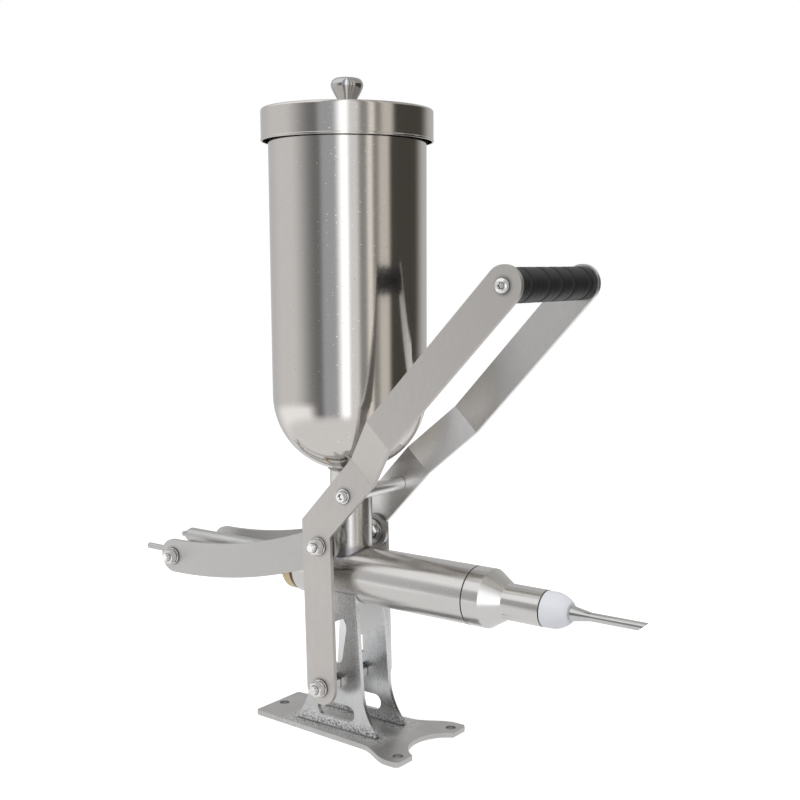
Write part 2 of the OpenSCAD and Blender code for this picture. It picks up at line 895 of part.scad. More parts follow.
// Edge view of the bent strip, drawn along the upper arm
module arm_bend() {
  low_y = arms_low_w / 2 - arm_t / 2;
  top_y = arms_top_w / 2 - arm_t / 2;
  grip_y = arms_grip_w / 2 - arm_t / 2;
  top_bend = bend_along + bend_run;
  grip_along = norm(grip_pt - elbow_pt);
  polygon(strip_points([
    [-norm(grip_pt - axle_pt), low_y],
    [bend_along, low_y],
    [top_bend, top_y],
    [2 * grip_along - top_bend, 2 * grip_y - top_y]
  ], arm_t));
}

module arm() {
  reach = norm(grip_pt - axle_pt);
  difference() {
    intersection() {
      translate([elbow_pt[0], 0, elbow_pt[1]])
        rotate([0, arm_lean - 90, 0])
          linear_extrude(2 * reach, center = true) arm_bend();
      union() arm_profile();
    }
    cross_hole(axle_pt, pin_r + pin_fit);
    cross_hole(crank_pt, pin_r + thread_fit);
    cross_hole(tie_pt, tie_screw_d / 2 + thread_fit);
    cross_hole(grip_pt, pin_r + thread_fit);
  }
}

module near_arm() {
  color("lightgray") mirror([0, 1, 0]) arm();
}

module far_arm() {
  color("lightgray") arm();
}

// Bar between the arms with a tapped hole in each end
module tapped_bar(pt, half_l, r, screw_r) {
  difference() {
    along_y(pt, -half_l) cylinder(r = r, h = 2 * half_l);
    mirrored_pair()
      along_y(pt, half_l - screw_grip_l)
        cylinder(r = screw_r + thread_fit, h = screw_grip_l + overrun);
  }
}

module cross_tie() {
  color("silver") tapped_bar(tie_pt, arm_low_in, tie_d / 2, tie_screw_d / 2);
}

module tie_washers() {
  color("gainsboro") mirrored_pair()
    along_y(tie_pt, arms_low_w / 2)
      ring(tie_washer_d / 2, tie_screw_d / 2 + thread_fit, washer_t);
}

// Cap screw that points inwards, drawn from the face under its head
module cap_screw(shank_d, shank_l, cap_d, cap_h) {
  translate([0, 0, -shank_l]) cylinder(d = shank_d, h = shank_l);
  difference() {
    cylinder(d = cap_d, h = cap_h);
    translate([0, 0, cap_h - socket_depth])
      cylinder(d = socket_af / cos(30), h = socket_depth + overrun, $fn = 6);
  }
}

module tie_screws() {
  face_y = arms_low_w / 2 + washer_t;
  shank_l = arm_t + washer_t + screw_grip_l;
  color("silver") mirrored_pair()
    along_y(tie_pt, face_y) cap_screw(tie_screw_d, shank_l, tie_head_d, tie_head_h);
}

module grip_core() {
  color("silver") tapped_bar(grip_pt, grip_in, grip_core_d / 2, pin_r);
}

// Sleeve of soft segments parted by narrow grooves
module grip_sleeve() {
  groove_w = 0.05 * grip_d;
  grooves = [-grip_groove_out, -grip_groove_in, 0, grip_groove_in, grip_groove_out];
  color([0.08, 0.08, 0.08]) difference() {
    along_y(grip_pt, -grip_in) ring(grip_d / 2, grip_core_d / 2 + weld_gap, 2 * grip_in);
    for (span = grooves)
      along_y(grip_pt, grip_groove_shift + span / 2 - groove_w / 2)
        ring(grip_d, grip_d / 2 - groove_w, groove_w);
  }
}

module grip_screws() {
  shank_l = arm_t + screw_grip_l;
  color("silver") mirrored_pair()
    along_y(grip_pt, arms_grip_w / 2 + seat_gap) cap_screw(pin_d, shank_l, button_d, button_h);
}

// Link bolts: head inside, nut outside the arm

wide_washer_y = link_in_y - seat_gap - washer_t;
bolt_head_y = wide_washer_y - head_h;
arm_washer_y = arms_low_w / 2;
arm_nut_y = arm_washer_y + washer_t;
bolt_end_y = arm_nut_y + nut_h + thread_out;

module link_bolts() {
  color("silver") mirrored_pair() {
    along_y(crank_pt, wide_washer_y) cylinder(r = pin_r, h = bolt_end_y - wide_washer_y);
    along_y(crank_pt, bolt_head_y) cylinder(d = nut_af / cos(30), h = head_h, $fn = 6);
  }
}

module link_wide_washers() {
  color("gainsboro") mirrored_pair()
    along_y(crank_pt, wide_washer_y) ring(wide_washer_d / 2, pin_r + thread_fit, washer_t);
}

module link_washers() {
  color("gainsboro") mirrored_pair()
    along_y(crank_pt, arm_washer_y) ring(washer_d / 2, pin_r + thread_fit, washer_t);
}

module link_nuts() {
  color("gainsboro") mirrored_pair()
    along_y(crank_pt, arm_nut_y) hex_nut(nut_af, nut_h, pin_r + thread_fit);
}

// Axle of the lever, held in the cheeks

axle_washer_y = arms_low_w / 2 + seat_gap;
axle_nut_y = axle_washer_y + washer_t;
axle_end_y = axle_nut_y + nut_h + thread_out;

module lever_axle() {
  color("silver") along_y(axle_pt, -axle_end_y) cylinder(r = pin_r, h = 2 * axle_end_y);
}

module axle_washers() {
  color("gainsboro") mirrored_pair()
    along_y(axle_pt, axle_washer_y) ring(washer_d / 2, pin_r + thread_fit, washer_t);
}

module axle_nuts() {
  color("gainsboro") mirrored_pair()
    along_y(axle_pt, axle_nut_y) hex_nut(nut_af, nut_h, pin_r + thread_fit);
}

// Lock nuts on both faces of each cheek keep the axle in place
module axle_locknuts() {
  color("gainsboro") mirrored_pair() {
    along_y(axle_pt, cheek_out_y)
      rotate(30) hex_nut(nut_af, lock_nut_h, pin_r + thread_fit);
    along_y(axle_pt, cheek_gap / 2 - lock_nut_h)
      rotate(30) hex_nut(nut_af, lock_nut_h, pin_r + thread_fit);
  }
}

base_plate();
near_cheek();
far_cheek();
front_web();
rear_web();
foot_welds();
barrel();
hopper_shell();
neck_weld();
lid();
lid_knob();
knob_screw();
joint_ring();
nozzle_adapter();
tip_ring();
nylon_nose();
needle();
piston_head();
piston_seals();
back_plate();
plate_screws();
push_bar();
guide_rod();
crosshead();
cross_shaft();
shaft_washers();
shaft_nuts();
shaft_inner_washers();
shaft_inner_nuts();
near_link();
far_link();
near_arm();
far_arm();
cross_tie();
tie_washers();
tie_screws();
grip_core();
grip_sleeve();
grip_screws();
link_bolts();
link_washers();
link_wide_washers();
link_nuts();
lever_axle();
axle_washers();
axle_nuts();
axle_locknuts();
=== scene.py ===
import bmesh
import bpy
import math
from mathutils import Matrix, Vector


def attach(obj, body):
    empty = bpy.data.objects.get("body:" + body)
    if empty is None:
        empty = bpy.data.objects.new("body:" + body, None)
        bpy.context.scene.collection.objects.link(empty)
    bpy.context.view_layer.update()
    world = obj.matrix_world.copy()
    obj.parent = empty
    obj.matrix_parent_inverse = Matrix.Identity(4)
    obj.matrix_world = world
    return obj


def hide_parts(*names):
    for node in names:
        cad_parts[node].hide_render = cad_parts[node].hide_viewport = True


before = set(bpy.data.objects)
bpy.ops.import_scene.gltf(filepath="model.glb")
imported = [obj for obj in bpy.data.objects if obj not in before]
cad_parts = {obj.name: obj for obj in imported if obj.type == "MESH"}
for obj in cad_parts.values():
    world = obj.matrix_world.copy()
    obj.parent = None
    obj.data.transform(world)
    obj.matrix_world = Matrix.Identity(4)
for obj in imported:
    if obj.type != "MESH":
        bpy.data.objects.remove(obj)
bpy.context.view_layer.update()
TAU = 2 * math.pi
MM = 0.001

# Camera, fitted to the photograph

cam_data = bpy.data.cameras.new("camera")
cam = bpy.data.objects.new("camera", cam_data)
bpy.context.scene.collection.objects.link(cam)
bpy.context.scene.camera = cam
cam.location = (0.70342, -0.85455, 0.43748)
cam.rotation_euler = (math.radians(90 - 8.4), 0, math.radians(35.46))
cam_data.sensor_width = 36
cam_data.lens = 54.727
cam_data.shift_x = -0.04344
cam_data.shift_y = 0.0511
cam_data.clip_start = 0.01
cam_data.clip_end = 200

# Node trees

MIX_FACTOR, MIX_A, MIX_B, MIX_RESULT = 0, 6, 7, 2  # colour sockets of the Mix node


class Tree:
    """Short ways to add, set and join the nodes of a material or of the world."""

    def __init__(self, owner):
        owner.use_nodes = True
        self.nodes = owner.node_tree.nodes
        self.links = owner.node_tree.links

    def new(self, kind, **values):
        """Adds a node; each value goes to the input of that name, or else to the node itself."""
        n = self.nodes.new(kind)
        for k, v in values.items():
            if k in n.inputs:
                n.inputs[k].default_value = v
            else:
                setattr(n, k, v)
        return n

    def link(self, a, b):
        self.links.new(a, b)

    def feed(self, socket, v):
        """Gives an input a number or a colour, or joins an output to it."""
        if isinstance(v, tuple):
            socket.default_value = (*v, 1)
        elif isinstance(v, (int, float)):
            socket.default_value = v
        else:
            self.link(v, socket)

    def math(self, op, a, b=0.0):
        n = self.new("ShaderNodeMath", operation=op)
        self.feed(n.inputs[0], a)
        self.feed(n.inputs[1], b)
        return n.outputs[0]

    def length(self, a, b):
        """Length of the vector (a, b)."""
        return self.math("SQRT", self.math("ADD", self.math("MULTIPLY", a, a), self.math("MULTIPLY", b, b)))

    def mix(self, fac, a, b):
        """Colour a where fac is 0 and b where it is 1."""
        n = self.new("ShaderNodeMix", data_type="RGBA")
        self.feed(n.inputs[MIX_FACTOR], fac)
        self.feed(n.inputs[MIX_A], a)
        self.feed(n.inputs[MIX_B], b)
        return n.outputs[MIX_RESULT]

    def shown_rays(self):
        """1 for camera, glossy and transmission rays, 0 for the light that falls on the object."""
        rays = self.new("ShaderNodeLightPath").outputs
        mirrored = self.math("MAXIMUM", rays["Is Glossy Ray"], rays["Is Transmission Ray"])
        return self.math("MAXIMUM", rays["Is Camera Ray"], mirrored)


class Mat(Tree):
    """A material round one Principled shader; its textures follow the object's own axes."""

    def __init__(self, name):
        self.mat = bpy.data.materials.new(name)
        super().__init__(self.mat)
        self.bsdf = self.nodes["Principled BSDF"]
        self.coord = self.nodes.new("ShaderNodeTexCoord")

    def xyz(self):
        n = self.new("ShaderNodeSeparateXYZ")
        self.link(self.coord.outputs["Object"], n.inputs[0])
        return n.outputs[0], n.outputs[1], n.outputs[2]

    def noise(self, scale, stretch=(1, 1, 1), detail=3.0, rough=0.55, turn=(0, 0, 0), shift=(0, 0, 0)):
        m = self.new("ShaderNodeMapping", Scale=stretch, Rotation=turn, Location=shift)
        self.link(self.coord.outputs["Object"], m.inputs["Vector"])
        n = self.new("ShaderNodeTexNoise", Scale=scale, Detail=detail, Roughness=rough)
        self.link(m.outputs[0], n.inputs["Vector"])
        return n.outputs["Fac"]

    def remap(self, fac, lo, hi, to_lo, to_hi):
        """Takes lo..hi to to_lo..to_hi and stops there; lo may be the larger one."""
        n = self.new("ShaderNodeMapRange")
        self.link(fac, n.inputs["Value"])
        for k, v in (("From Min", lo), ("From Max", hi), ("To Min", to_lo), ("To Max", to_hi)):
            n.inputs[k].default_value = v
        return n.outputs["Result"]

    def past(self, v, limit):
        """How far v lies past limit."""
        return self.math("SUBTRACT", v, limit)

    def off(self, v, middle):
        """How far v lies from middle, either way."""
        return self.math("ABSOLUTE", self.past(v, middle))

    def either_side(self, v, middle):
        """How far v lies from middle, or from its mirror image where v is negative."""
        return self.off(self.math("ABSOLUTE", v), middle)

    def ripple(self, scale, detail, size):
        """Uneven edge, up to half of size to either side."""
        return self.math("MULTIPLY", self.past(self.noise(scale, detail=detail), 0.5), size)

    def crevice_shade(self, base, reach, dark):
        """Painted shade: darkens what has something else within reach, as in corners and between parts."""
        n = self.new("ShaderNodeAmbientOcclusion", samples=6, Distance=reach)
        return self.mix(self.remap(n.outputs["AO"], 0.35, 0.97, 1, 0), base, grey(dark))

    def bump(self, height, strength, distance, edge):
        """Fine relief, with the edges rounded by the radius edge where there is one."""
        n = self.new("ShaderNodeBump", Strength=strength, Distance=distance)
        self.link(height, n.inputs["Height"])
        if edge:
            b = self.new("ShaderNodeBevel", samples=4, Radius=edge)
            self.link(b.outputs[0], n.inputs["Normal"])
        self.link(n.outputs[0], self.bsdf.inputs["Normal"])


def grey(v, warm=0.0):
    return (v * (1 + warm), v, v * (1 - warm))


# Materials

def steel(name, tone, rough, stretch, grain=0.25, mottled=0.04, edge=0.0004, warm=0.008, spread=0.04,
          turn=(0, 0, 0), specks=0.0, lined=0.12, extra=None, crevice_shade=0.0, dark=0.08):
    """Stainless steel: grain lines stretched one way, soft clouds, a few specks and, where asked, painted
    shade in corners.
    """
    m = Mat(name)
    lines = m.noise(1.0, stretch, detail=4.0, rough=0.7, turn=turn)
    cloud = m.noise(26.0, detail=2.0, rough=0.45)
    fine = m.noise(420.0, detail=2.0)
    base = m.mix(m.remap(cloud, 0.3, 0.7, 0, 1), grey(tone - mottled, warm), grey(tone + mottled, warm))
    base = m.mix(m.remap(lines, 0.35, 0.65, 0, 1), base, grey(tone * (1 - lined), warm))
    if specks:
        pale_specks = m.noise(640.0, detail=1.0, shift=(3, 1, 2))
        base = m.mix(m.remap(pale_specks, 0.70, 0.74, 0, specks), base, grey(min(1.0, tone * 1.5), warm))
        dark_specks = m.noise(380.0, detail=1.0, shift=(7, 2, 5))
        base = m.mix(m.remap(dark_specks, 0.73, 0.78, 0, specks), base, grey(tone * 0.45, warm))
    r = m.math("ADD", m.remap(lines, 0.3, 0.7, rough - spread, rough + spread),
               m.remap(fine, 0.3, 0.7, -0.02, 0.02))
    if extra:
        base, r = extra(m, base, r)
    # Painted shade in corners and between parts, down to the tone dark
    if crevice_shade:
        base = m.crevice_shade(base, crevice_shade, dark)
    m.link(base, m.bsdf.inputs["Base Color"])
    m.link(r, m.bsdf.inputs["Roughness"])
    m.bsdf.inputs["Metallic"].default_value = 1.0
    m.bump(m.math("ADD", lines, m.math("MULTIPLY", fine, 0.3)), grain, 0.00002, edge)
    return m


def solid(name, color, rough, bumpiness=0.15, scale=260.0, edge=0.0003, sss=0.0, dark=0.86):
    """Plastic or rubber with a fine skin and faint clouds, down to dark times its colour."""
    m = Mat(name)
    cloud = m.noise(34.0, detail=4.0)
    fine = m.noise(scale, detail=3.0)
    m.link(m.mix(m.remap(cloud, 0.3, 0.7, 0, 1), tuple(c * dark for c in color), color),
           m.bsdf.inputs["Base Color"])
    m.link(m.remap(fine, 0.3, 0.7, rough - 0.06, rough + 0.06), m.bsdf.inputs["Roughness"])
    if sss:
        m.bsdf.inputs["Subsurface Weight"].default_value = sss
        m.bsdf.inputs["Subsurface Radius"].default_value = (0.004, 0.004, 0.004)
    m.bump(fine, bumpiness, 0.0001, edge)
    return m


# Places that the materials pick out (m)
CHEEK_X, CHEEK_Y, CHEEK_HALF = -0.003, 0.020, 0.002  # its middle, on both sides, and half its thickness
CHEEK_TOP, CHEEK_FOOT = 0.025, 0.048  # half its length at the barrel and on the base
BARREL_Z, NECK_R, NECK_FOOT_Z = 0.151, 0.0193, 0.1765
BASE_TOP = 0.005
CREASE_SHADE_Z, CREASE_SHADE_HALF = 0.0052, 0.0022  # painted shade along the crease where a cheek meets the base
BASE_HOLES = ((0.084, 0.041), (-0.088, 0.0))  # x, and y on both sides
STRAW, HEAT_BLUE = (0.56, 0.50, 0.42), (0.25, 0.26, 0.31)


def weld_heat(m, base, r):
    """Blue and straw heat colours round the foot of the neck and at the cheeks' tops."""
    x, y, z = m.xyz()
    ripple = m.ripple(160.0, 3.0, 0.006)
    neck = m.math("MAXIMUM", m.past(m.length(x, y), NECK_R), m.past(z, NECK_FOOT_Z))
    neck = m.math("ADD", neck, ripple)
    seam = m.math("MAXIMUM", m.past(m.off(x, CHEEK_X), CHEEK_TOP),
                  m.past(m.either_side(y, CHEEK_Y), CHEEK_HALF))
    seam = m.math("MAXIMUM", m.math("ADD", seam, ripple), m.past(z, BARREL_Z))
    near = m.math("MINIMUM", neck, seam)
    base = m.mix(m.remap(near, 0.0060, 0.0030, 0, 0.30), base, STRAW)
    base = m.mix(m.remap(near, 0.0035, 0.0008, 0, 0.55), base, HEAT_BLUE)
    return base, m.math("ADD", r, m.remap(near, 0.006, 0.001, 0, 0.12))


def etched_band_and_painted_light(m, base, r, painted_light_above=0.35):
    """Pickled, speckled band beside the seams of cheeks and base, with painted shade in the bolt holes and
    along the seams; the steel higher up is paler, a painted light set by the last argument.
    """
    x, y, z = m.xyz()
    # Painted light: the steel is paler higher up, from 2 to 10 cm
    base = m.mix(m.remap(z, 0.02, 0.10, 0, painted_light_above), base, grey(0.94, -0.012))

    # The band, its pale grit and its dark pits
    side = m.either_side(y, CHEEK_Y)
    along = m.past(m.off(x, CHEEK_X), CHEEK_FOOT)
    up = m.math("ADD", m.off(z, BASE_TOP), m.ripple(90.0, 4.0, 0.012))
    reach = m.math("MAXIMUM", m.math("MAXIMUM", up, m.past(side, CHEEK_HALF)), along)
    band = m.remap(reach, 0.015, 0.006, 0, 1)
    grit = m.remap(m.noise(700.0, detail=2.0), 0.36, 0.58, 0.0, 0.9)
    base = m.mix(m.math("MULTIPLY", band, grit), base, grey(0.92))
    pits = m.remap(m.noise(620.0, detail=3.0, shift=(4, 4, 1)), 0.53, 0.62, 0, 0.9)
    base = m.mix(m.math("MULTIPLY", m.remap(reach, 0.0125, 0.003, 0, 1), pits), base, grey(0.07))

    # Painted shade on the walls of the base's bolt holes, below its top face
    below = m.remap(z, 0.0052, 0.0058, 1, 0)
    for hole_x, hole_y in BASE_HOLES:
        away = m.length(m.past(x, hole_x), m.past(m.math("ABSOLUTE", y), hole_y))
        base = m.mix(m.math("MULTIPLY", m.remap(away, 0.0051, 0.0046, 0, 0.6), below), base, grey(0.10))

    # Painted shade along the crease where each cheek meets the base
    seam = m.math("MAXIMUM", m.math("MAXIMUM", m.off(z, CREASE_SHADE_Z), m.past(side, CREASE_SHADE_HALF)), along)
    base = m.mix(m.remap(seam, 0.0012, 0.0004, 0, 0.7), base, grey(0.12))
    return base, m.math("ADD", r, m.math("MULTIPLY", band, 0.18))


def etched_cheek_and_strong_painted_light(m, base, r):
    """The same on the cheeks, with much more painted light above the band."""
    return etched_band_and_painted_light(m, base, r, 0.90)


ACROSS_VIEW = (0.772, 0.636)  # level direction to the right, as seen from the camera's side


def droplets(m, base, r):
    """Small dust grains and dried drops down the middle, as seen from the camera's side."""
    x, y, _ = m.xyz()
    cells = m.new("ShaderNodeTexVoronoi", Scale=270.0)
    m.link(m.coord.outputs["Object"], cells.inputs["Vector"])
    tone = m.new("ShaderNodeSeparateColor")
    m.link(cells.outputs["Color"], tone.inputs[0])
    size = m.remap(tone.outputs["Green"], 0.0, 1.0, 0.06, 0.17)
    dot = m.remap(m.math("SUBTRACT", cells.outputs["Distance"], size), 0.03, -0.03, 0, 1)
    few = m.remap(tone.outputs["Red"], 0.56, 0.58, 0, 1)
    across = m.math("ADD", m.math("MULTIPLY", x, ACROSS_VIEW[0]), m.math("MULTIPLY", y, ACROSS_VIEW[1]))
    middle = m.remap(m.math("ABSOLUTE", across), 0.034, 0.010, 0, 1)
    spot = m.math("MULTIPLY", m.math("MULTIPLY", dot, few), middle)
    return m.mix(spot, base, grey(0.98)), m.math("ADD", r, m.math("MULTIPLY", spot, 0.45))


# Tone, roughness, then the grain's scale along x, y and z: large across the grain, small along it
ALONG_ARM = (0, math.radians(-46), 0)
hopper_steel = steel("hopper_steel", 0.645, 0.12, (40, 40, 2600), grain=0.06, mottled=0.010, edge=0,
                     spread=0.02, warm=0.042, specks=0.35, lined=0.03, extra=droplets)
lid_steel = steel("lid_steel", 0.645, 0.13, (60, 60, 3200), grain=0.14, mottled=0.015, edge=0,
                  spread=0.03, warm=0.042, specks=0.4, lined=0.05, extra=droplets)
barrel_steel = steel("barrel_steel", 0.67, 0.24, (30, 1400, 1400), grain=0.07, mottled=0.01,
                     warm=0.025, lined=0.05, extra=weld_heat, crevice_shade=0.002)
turned_steel = steel("turned_steel", 0.68, 0.20, (3600, 40, 40), grain=0.12, mottled=0.02, edge=0.0005,
                     spread=0.03, warm=0.020, lined=0.05)
knob_steel = steel("knob_steel", 0.57, 0.09, (40, 40, 3600), grain=0.08, mottled=0.02, edge=0, spread=0.03)
arm_steel = steel("arm_steel", 0.63, 0.48, (300, 1800, 90), grain=0.08, mottled=0.012, edge=0.0005,
                  turn=ALONG_ARM, lined=0.02, warm=0.040, crevice_shade=0.0035)
# Painted light: the far arm has the arm steel made paler, for the light on its inner face
far_arm_painted_light_steel = steel("far_arm_painted_light_steel", 0.78, 0.30, (300, 1800, 90), grain=0.04, mottled=0.03, edge=0.0005,
                  turn=ALONG_ARM, spread=0.02, lined=0.03, warm=0.010)
link_steel = steel("link_steel", 0.585, 0.46, (90, 1800, 900), grain=0.08, mottled=0.012,
                   lined=0.02, warm=0.020, crevice_shade=0.0035)
plate_steel = steel("plate_steel", 0.56, 0.36, (50, 1500, 900), grain=0.18, mottled=0.08, edge=0.0006,
                    spread=0.06, lined=0.06, warm=0.015, extra=etched_band_and_painted_light)
bracket_steel = steel("bracket_steel", 0.60, 0.28, (260, 500, 22), grain=0.02, mottled=0.14, edge=0.0006,
                      warm=-0.004, lined=0.04, extra=etched_cheek_and_strong_painted_light)
bar_steel = steel("bar_steel", 0.60, 0.38, (60, 1600, 1600), grain=0.12, mottled=0.03, crevice_shade=0.0015)
bolt_steel = steel("bolt_steel", 0.88, 0.13, (700, 700, 700), grain=0.12, edge=0.00015,
                   spread=0.03, crevice_shade=0.0014, dark=0.02)
# Painted light: the tie has the satin steel made much paler, to make up for the dark it mirrors
tie_painted_light_steel = steel("tie_painted_light_steel", 0.92, 0.36, (900, 60, 900), grain=0.12, mottled=0.03, crevice_shade=0.0015)
needle_steel = steel("needle_steel", 0.64, 0.15, (90, 1600, 1600), grain=0.12, mottled=0.03, edge=0.0002)
weld_steel = steel("weld_steel", 0.30, 0.34, (500, 500, 500), grain=0.6, mottled=0.12, edge=0)
dark_steel = steel("dark_steel", 0.22, 0.42, (400, 400, 400), grain=0.3, mottled=0.05, edge=0.0005)
rubber = solid("black_rubber", (0.012, 0.012, 0.013), 0.46, bumpiness=0.35, scale=900.0, edge=0)
gasket = solid("gasket_rubber", (0.015, 0.015, 0.015), 0.6)
nylon = solid("white_nylon", (0.80, 0.81, 0.86), 0.38, bumpiness=0.08, sss=0.25, dark=0.97, edge=0.0008)
ivory = solid("ivory_plastic", (0.86, 0.70, 0.42), 0.40, bumpiness=0.12, edge=0.0006)
# Amber seal, its colour made very dark to paint the shadow line between piston head and barrel
amber = solid("amber_seal", (0.12, 0.055, 0.014), 0.32, bumpiness=0.1, sss=0.2, edge=0.0004)

# Look and slot of each node; those that aren't named here are nuts, bolts, screws and washers
FASTENER = (bolt_steel, "fastener_steel")
LOOKS = {
    "base_plate": (plate_steel, "satin_steel"),
    "near_cheek": (bracket_steel, "satin_steel"),
    "far_cheek": (bracket_steel, "satin_steel"),
    "front_web": (plate_steel, "satin_steel"),
    "rear_web": (plate_steel, "satin_steel"),
    "foot_welds": (weld_steel, "weld_steel"),
    "barrel": (barrel_steel, "polished_steel"),
    "hopper_shell": (hopper_steel, "polished_steel"),
    "neck_weld": (weld_steel, "weld_steel"),
    "lid": (lid_steel, "polished_steel"),
    "lid_knob": (knob_steel, "polished_steel"),
    "joint_ring": (gasket, "black_rubber"),
    "nozzle_adapter": (turned_steel, "polished_steel"),
    "tip_ring": (gasket, "black_rubber"),
    "nylon_nose": (nylon, "white_nylon"),
    "needle": (needle_steel, "polished_steel"),
    "piston_head": (ivory, "ivory_plastic"),
    "piston_seals": (amber, "amber_seal"),
    "back_plate": (dark_steel, "dark_steel"),
    "push_bar": (bar_steel, "satin_steel"),
    "guide_rod": (bar_steel, "satin_steel"),
    "crosshead": (bar_steel, "satin_steel"),
    "near_link": (link_steel, "arm_steel"),
    "far_link": (link_steel, "arm_steel"),
    "near_arm": (arm_steel, "arm_steel"),
    "far_arm": (far_arm_painted_light_steel, "arm_steel"),
    "cross_tie": (tie_painted_light_steel, "satin_steel"),
    "grip_core": (bar_steel, "satin_steel"),
    "grip_sleeve": (rubber, "black_rubber"),
}
for name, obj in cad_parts.items():
    look, slot_name = LOOKS.get(name, FASTENER)
    obj.data.materials.clear()
    obj.data.materials.append(look.mat)


# Turned and hexagonal pieces, built ring by ring

def turned(bm, place, profile, segs=72, closed=False):
    """Revolves a profile of (radius, height) in mm; a profile may be a function of the angle."""
    cols, poles = [], {}
    for i in range(segs):
        t = TAU * i / segs
        col = []
        for k, (r, h) in enumerate(profile(t) if callable(profile) else profile):
            if r <= 0:
                if k not in poles:
                    poles[k] = bm.verts.new(place(0, 0, h))
                col.append(poles[k])
            else:
                col.append(bm.verts.new(place(r * math.cos(t), r * math.sin(t), h)))
        cols.append(col)
    n = len(cols[0])
    for i in range(segs):
        a, b = cols[i], cols[(i + 1) % segs]
        for k in range(n if closed else n - 1):
            quad = []
            for v in (a[k], a[(k + 1) % n], b[(k + 1) % n], b[k]):
                if v not in quad:
                    quad.append(v)
            if len(quad) > 2:
                bm.faces.new(quad)


def on_y(x, z, y, way=1):
    """Place for a piece whose axis runs across the machine, with its foot at y (mm)."""
    return lambda u, v, h: (MM * (x + u), MM * (y + way * h), MM * (z + v))


def on_z(z):
    """Place for a piece on the hopper's axis, with its foot at z (mm)."""
    return lambda u, v, h: (MM * u, MM * v, MM * (z + h))


def each_side(axis, y):
    """Places on the far and the near side, each facing outwards with its foot y mm from the middle plane."""
    return on_y(*axis, y, 1), on_y(*axis, -y, -1)


def finish(bm, node, look, body, angle=32):
    """Makes one piece of the mesh, which stands for the CAD node of the same name."""
    bmesh.ops.recalc_face_normals(bm, faces=bm.faces)
    mesh = bpy.data.meshes.new(node + "_made")
    bm.to_mesh(mesh)
    bm.free()
    for p in mesh.polygons:
        p.use_smooth = True
    mesh.set_sharp_from_angle(angle=math.radians(angle))
    mesh.materials.append(look.mat)
    obj = bpy.data.objects.new(node + "_made", mesh)
    bpy.context.scene.collection.objects.link(obj)
    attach(obj, body)
    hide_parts(node)


def fasteners(node, body, *sets):
    """Makes one node of fasteners; each set is its places, its profile and any options of turned."""
    bm = bmesh.new()
    for places, profile, *options in sets:
        for place in places:
            turned(bm, place, profile, **dict(*options))
    finish(bm, node, FASTENER[0], body)


# Profiles of fasteners, drawn from the seat outwards (mm). Nuts, bolt heads and washers are M8.
HEX, NUT_HOLE, WASHER_HOLE, WASHER_T = 13.0, 4.03, 4.05, 1.6
HEX_FLAT = 0.93 * HEX / 2  # radius of the face inside the turned corners
SOCKET, SOCKET_DEEP = 5.0, 2.4
CHAMFER, ROWS_PER_TURN = 0.9, 8


def hex_r(t, across, phase=0.0):
    """Radius of a hexagon, across wide over its flats, at the angle t."""
    sixth = TAU / 6
    return across / 2 / math.cos((t - phase) % sixth - sixth / 2)


def corner(t, phase=0.0):
    """Radius of the hexagon at t, and how deep its corner is turned off at 30 degrees."""
    r = hex_r(t, HEX, phase)
    return r, (r - HEX_FLAT) * math.tan(math.radians(30))


def nut(h, phase):
    """Hex nut whose corners are turned off on both faces."""
    def profile(t):
        r, drop = corner(t, phase)
        return [(NUT_HOLE, 0.5), (NUT_HOLE + 0.5, 0), (HEX_FLAT, 0), (r, drop),
                (r, h - drop), (HEX_FLAT, h), (NUT_HOLE + 0.5, h), (NUT_HOLE, h - 0.5)]
    return profile


def bolt_head(h):
    def profile(t):
        r, drop = corner(t)
        return [(0, 0), (HEX_FLAT, 0), (r, drop), (r, h), (0, h)]
    return profile


def washer(r, soft=0.25):
    """Flat ring with its edges rounded by soft."""
    h, hole = WASHER_T, WASHER_HOLE
    return [(hole, soft), (hole + soft, 0), (r - soft, 0), (r - 0.07, 0.07), (r, soft), (r, h - soft),
            (r - 0.07, h - 0.07), (r - soft, h), (hole + soft, h), (hole, h - soft)]


def cap(r, h, soft=0.5, dome=0.0):
    """Screw head with a hexagon socket."""
    def profile(t):
        s = hex_r(t, SOCKET)
        lip, top = s + 0.25, h + dome
        rows = [(0, top - SOCKET_DEEP), (s, top - SOCKET_DEEP), (s, top - 0.25), (lip, top)]
        rows += [(lip + (r - soft - s - 0.25) * k / 3, h + dome * (1 - (k / 3) ** 2)) for k in (1, 2, 3)]
        rows += [(r - 0.3 * soft, h - 0.3 * soft), (r, h - soft), (r, 0.2), (r - 0.2, 0), (0, 0)]
        return rows
    return profile


def threaded(r, length, cut, pitch=1.25, depth=0.62):
    """Pin with chamfered ends and a helical thread on the spans in cut."""
    rows = {0.0, CHAMFER, length - CHAMFER, length}
    for lo, hi in cut:
        n = max(1, round((hi - lo) / pitch * ROWS_PER_TURN))
        rows.update(lo + (hi - lo) * k / n for k in range(n + 1))
    rows = sorted(rows)

    def profile(t):
        out = [(0, 0.0)]
        for h in rows:
            rr = r
            for lo, hi in cut:
                if lo - 1e-6 <= h <= hi + 1e-6:
                    wave = (h / pitch - t / TAU) % 1.0
                    rr = r - depth * (1 - min(1.0, 1.25 * (1 - abs(2 * wave - 1))))
            end = min(h, length - h)
            if end < CHAMFER:
                rr = min(rr, r - (CHAMFER - end) * 0.85)
            out.append((rr, h))
        out.append((0, length))
        return out
    return profile


# Axes that run across the machine: x and z (mm)
AXLE, CRANK, SHAFT = (-3.0, 50.5), (-3.0, 183.5), (-199.0, 146.0)
TIE, GRIP = (27.0909, 232.5992), (204.2, 419.1)
NUT_H, LOCKNUT_H, PIN_R = 6.5, 8, 3.98
PIN, THIN_PIN, RING = {"segs": 48}, {"segs": 36}, {"closed": True}

